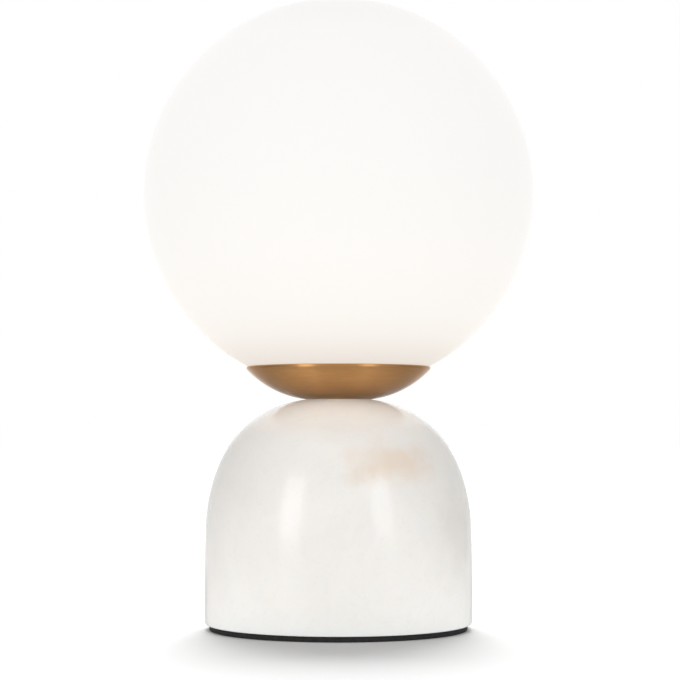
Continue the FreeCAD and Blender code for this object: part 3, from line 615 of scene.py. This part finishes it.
def globe_form():
    radius, centre_z = globe_size()
    inner = radius - GLOBE_WALL
    centre = (0.0, centre_z)
    # The mouth's two edges are rounded where its wall meets the glass.
    reach = MOUTH_RADIUS + MOUTH_ROUND
    outer_round = (reach, centre_z - math.sqrt((radius - MOUTH_ROUND) ** 2 - reach ** 2))
    inner_round = (reach, centre_z - math.sqrt((inner + MOUTH_ROUND) ** 2 - reach ** 2))
    outer_start = bearing(centre, outer_round)
    inner_end = bearing(centre, inner_round)
    outline = [
        *arc(outer_round, MOUTH_ROUND, -180, outer_start, steps=6),
        *arc(centre, radius, outer_start + ARC_STEP, POLE_ANGLE, GLOBE_ARC_STEPS),
        (0.0, centre_z + radius), (0.0, centre_z + inner),
        *arc(centre, inner, POLE_ANGLE, inner_end + ARC_STEP, GLOBE_ARC_STEPS),
        *arc(inner_round, MOUTH_ROUND, 180 + inner_end, 180, steps=6),
    ]
    stand_in(lathe("opal_ball", outline), "glass_globe", "globe", "opal_glass")


def cup_centre(radius, floor_z, band_z):
    """Centre of the cup's outer curve, through the edge of its floor and the foot of its band."""
    chord = (radius - CUP_FLOOR_RADIUS, band_z - floor_z)
    length = math.hypot(*chord)
    rise = math.sqrt(CUP_ARC_RADIUS ** 2 - (length / 2) ** 2) / length
    return ((radius + CUP_FLOOR_RADIUS) / 2 - chord[1] * rise,
            (band_z + floor_z) / 2 + chord[0] * rise)


def lower_z(r, centre, radius):
    """Height of a circle's lower half at a distance r from the lamp's axis."""
    return centre[1] - math.sqrt(radius ** 2 - (r - centre[0]) ** 2)


def cup_form():
    low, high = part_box("globe_cup")
    radius = high.x
    band_z = high.z - CUP_BAND
    centre = cup_centre(radius, low.z, band_z)
    floor_top = low.z + CUP_WALL
    inner_radius = CUP_ARC_RADIUS - CUP_WALL
    glass_radius, glass_z = globe_size()
    glass = (0.0, glass_z)
    bevel_radius = glass_radius + CUP_RIM_GAP
    # The inner curve ends where the bevel along the glass begins.
    meet = radius - CUP_RIM_LAND
    while lower_z(meet, glass, bevel_radius) > lower_z(meet, centre, inner_radius):
        meet -= BEVEL_SEARCH_STEP
    meet_point = (meet, lower_z(meet, glass, bevel_radius))
    land = (radius - CUP_RIM_LAND, high.z)
    flat = centre[0] + math.sqrt(inner_radius ** 2 - (centre[1] - floor_top) ** 2)
    outline = [
        (SHEET_HOLE_RADIUS, low.z), (CUP_FLOOR_RING, low.z),
        *arc(centre, CUP_ARC_RADIUS, bearing(centre, (CUP_FLOOR_RADIUS, low.z)),
             bearing(centre, (radius, band_z)), steps=48),
        (radius, band_z + CUP_BAND_STEP),
        *arc((radius - CUP_RIM_ROUND, high.z - CUP_RIM_ROUND), CUP_RIM_ROUND, 0, 90, steps=4),
        *rows(land, meet_point, count=4),
        *arc(centre, inner_radius, bearing(centre, meet_point) - BEVEL_STEP,
             bearing(centre, (flat, floor_top)), steps=40),
        (SHEET_HOLE_RADIUS, floor_top),
    ]
    stand_in(lathe("spun_cup", outline), "globe_cup", "lamp_base", "cup_brass")


def sleeve_form():
    low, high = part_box("gallery_sleeve")
    crest = high.x
    bore = crest - SLEEVE_WALL
    floor_top = low.z + SLEEVE_WALL
    foot = crest - SLEEVE_FOOT_STEP
    thread_foot = low.z + THREAD_FOOT
    outline = [
        (SHEET_HOLE_RADIUS, low.z), (foot, low.z), (crest, low.z + SLEEVE_WALL / 2),
        *rows((crest, thread_foot), (crest, high.z - THREAD_END), count=90), (crest, high.z),
        (bore, high.z), (bore, floor_top), (SHEET_HOLE_RADIUS, floor_top),
    ]
    male = thread(crest, THREAD_DEPTH, thread_foot, high.z, male=True)
    piece = lathe("threaded_sleeve", outline, male, THREADED_STEPS)
    stand_in(piece, "gallery_sleeve", "lamp_base", "sleeve_aluminium")


def collar_form():
    low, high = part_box("globe_collar")
    flange = high.x
    glass_radius, glass_z = globe_size()
    centre = (0.0, glass_z)
    bond = glass_radius + BOND_GAP
    edge = bearing(centre, (flange, lower_z(flange, centre, bond)))
    neck = bearing(centre, (COLLAR_NECK, lower_z(COLLAR_NECK, centre, bond)))
    outline = [
        (COLLAR_BORE, low.z), (flange, low.z), *arc(centre, bond, edge, neck, steps=4),
        (COLLAR_NECK, high.z),
        *rows((COLLAR_BORE, high.z), (COLLAR_BORE, low.z + COLLAR_LEAD), count=60),
    ]
    female = thread(COLLAR_BORE, COLLAR_RIDGE, low.z, high.z, male=False)
    piece = lathe("threaded_collar", outline, female, THREADED_STEPS)
    stand_in(piece, "globe_collar", "globe", "collar_plastic")


def dress_packed_nodes():
    """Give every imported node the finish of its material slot."""
    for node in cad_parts.values():
        for slot in node.material_slots:
            name = slot.material.name.split(".")[0]
            slot.material = FINISHES[name]


# ---- stage ----
def build_world():
    """White to the camera and through glass; otherwise as bright as the surroundings."""
    world = bpy.data.worlds.new("studio")
    bpy.context.scene.world = world
    world.use_nodes = True
    tree = world.node_tree
    x, y, z = axes(tree, tree.nodes.new("ShaderNodeTexCoord").outputs["Generated"])
    # 0 straight behind the lamp, 1 at the camera's side
    facing = math_node(tree, "DIVIDE", math_node(tree, "MULTIPLY", y, -0.5), off_axis(tree, x, y))
    around = ramp_node(tree, math_node(tree, "ADD", facing, 0.5), SURROUNDINGS)
    above = map_range(tree, z, (OVERHEAD_FROM, 1.0))
    change = math_node(tree, "SUBTRACT", OVERHEAD, around)
    level = math_node(tree, "ADD", around, math_node(tree, "MULTIPLY", above, change))
    path = tree.nodes.new("ShaderNodeLightPath").outputs
    seen = math_node(tree, "MAXIMUM", path["Is Camera Ray"], path["Is Transmission Ray"])
    background = tree.nodes["Background"]
    background.inputs["Color"].default_value = (1.0, 1.0, 1.0, 1.0)
    tree.links.new(math_node(tree, "MAXIMUM", level, seen), background.inputs["Strength"])


def floor_material():
    """White table: it lights the lamp's foot, and brightens into the backdrop far away."""
    material = bpy.data.materials.new("white_table")
    material.use_nodes = True
    tree = material.node_tree
    tree.nodes.clear()
    path = tree.nodes.new("ShaderNodeLightPath").outputs
    diffuse = tree.nodes.new("ShaderNodeBsdfDiffuse")
    white = map_range(tree, path["Is Glossy Ray"], to_span=(FLOOR_WHITE, FLOOR_MIRRORED))
    tree.links.new(white, diffuse.inputs["Color"])
    away = length_of(tree, tree.nodes.new("ShaderNodeTexCoord").outputs["Object"])
    # The far brightness is for rays that show the floor directly, in a reflection or through
    # glass; the near one is for the light that the floor throws on the lamp.
    far = map_range(tree, away, FLOOR_LIFT_SPAN, (0.0, FLOOR_LIFT))
    mirrored = math_node(tree, "MAXIMUM", path["Is Glossy Ray"], path["Is Transmission Ray"])
    shown = math_node(tree, "MAXIMUM", path["Is Camera Ray"], mirrored)
    near = map_range(tree, away, FLOOR_FILL_SPAN, (0.0, FLOOR_FILL))
    lift = math_node(tree, "MULTIPLY", far, shown)
    fill = math_node(tree, "MULTIPLY", near, path["Is Diffuse Ray"])
    glow = tree.nodes.new("ShaderNodeEmission")
    tree.links.new(math_node(tree, "ADD", lift, fill), glow.inputs["Strength"])
    both = tree.nodes.new("ShaderNodeAddShader")
    tree.links.new(diffuse.outputs["BSDF"], both.inputs[0])
    tree.links.new(glow.outputs["Emission"], both.inputs[1])
    output = tree.nodes.new("ShaderNodeOutputMaterial")
    tree.links.new(both.outputs["Shader"], output.inputs["Surface"])
    return material


def build_floor():
    right = [(half, y, 0.0) for y, half in FLOOR_EDGES]
    left = [(-half, y, 0.0) for y, half in reversed(FLOOR_EDGES)]
    corners = right + left
    floor = new_piece("floor", corners, [tuple(range(len(corners)))])
    floor.data.materials.append(floor_material())
    return floor


def toward(azimuth, elevation):
    """Direction from the lamp; azimuth from the camera's side, positive to the right."""
    a, e = math.radians(azimuth), math.radians(elevation)
    return Vector((math.sin(a) * math.cos(e), -math.cos(a) * math.cos(e), math.sin(e)))


def add_light(name, kind, away, distance, strength):
    light = bpy.data.lights.new(name, kind)
    light.energy = strength
    lamp = bpy.data.objects.new(name, light)
    lamp.location = Vector((0, 0, AIM_HEIGHT)) + away * distance
    lamp.rotation_euler = (-away).to_track_quat("-Z", "Y").to_euler()
    bpy.context.scene.collection.objects.link(lamp)
    return lamp


def group(name, pieces):
    """A collection that the lights are linked to."""
    collection = bpy.data.collections.new(name)
    for piece in pieces:
        collection.objects.link(piece)
    return collection


def link_light(light, lit, shading):
    light.light_linking.receiver_collection = lit
    light.light_linking.blocker_collection = shading


def build_lights(floor):
    for azimuth, elevation, distance, size, power in SOFTBOXES:
        softbox = add_light("softbox", "AREA", toward(azimuth, elevation), distance, power)
        softbox.data.shape = "RECTANGLE"
        softbox.data.size, softbox.data.size_y = size
    marble, pad, cup = [bpy.data.objects[name] for name in ("marble_dome", "foam_pad", "spun_cup")]
    # The light from behind falls on the floor alone, where the lamp's shadow comes forward.
    lit = group("lit_from_behind", [floor])
    shading = group("shades_the_floor", [marble, pad, cup])
    for azimuth in FLOOR_LIGHT_AZIMUTHS:
        away = toward(azimuth, FLOOR_LIGHT_ELEVATION)
        behind = add_light("floor_light", "SUN", away, FLOOR_LIGHT_DISTANCE, FLOOR_LIGHT_STRENGTH)
        behind.data.angle = math.radians(FLOOR_LIGHT_SPREAD)
        link_light(behind, lit, shading)
    glow = add_light("globe_glow", "POINT", toward(0.0, 90.0), GLOBE_LIGHT_HEIGHT - AIM_HEIGHT,
                     GLOBE_LIGHT_POWER)
    glow.data.shadow_soft_size = GLOBE_LIGHT_RADIUS
    glow.data.color = GLOBE_LIGHT_COLOUR
    glow.visible_glossy = False
    glowing = group("lit_by_the_globe", [marble])
    link_light(glow, glowing, glowing)


def build_camera():
    data = bpy.data.cameras.new("camera")
    data.sensor_width = SENSOR_WIDTH
    data.lens = LENS
    camera = bpy.data.objects.new("camera", data)
    camera.location = CAMERA_PLACE
    camera.rotation_euler = (math.radians(90 + CAMERA_PITCH), 0, 0)
    bpy.context.scene.collection.objects.link(camera)
    bpy.context.scene.camera = camera


marble_form()
pad_form()
globe_form()
cup_form()
sleeve_form()
collar_form()
dress_packed_nodes()
build_world()
build_lights(build_floor())
build_camera()
bpy.context.scene.view_settings.view_transform = "Standard"
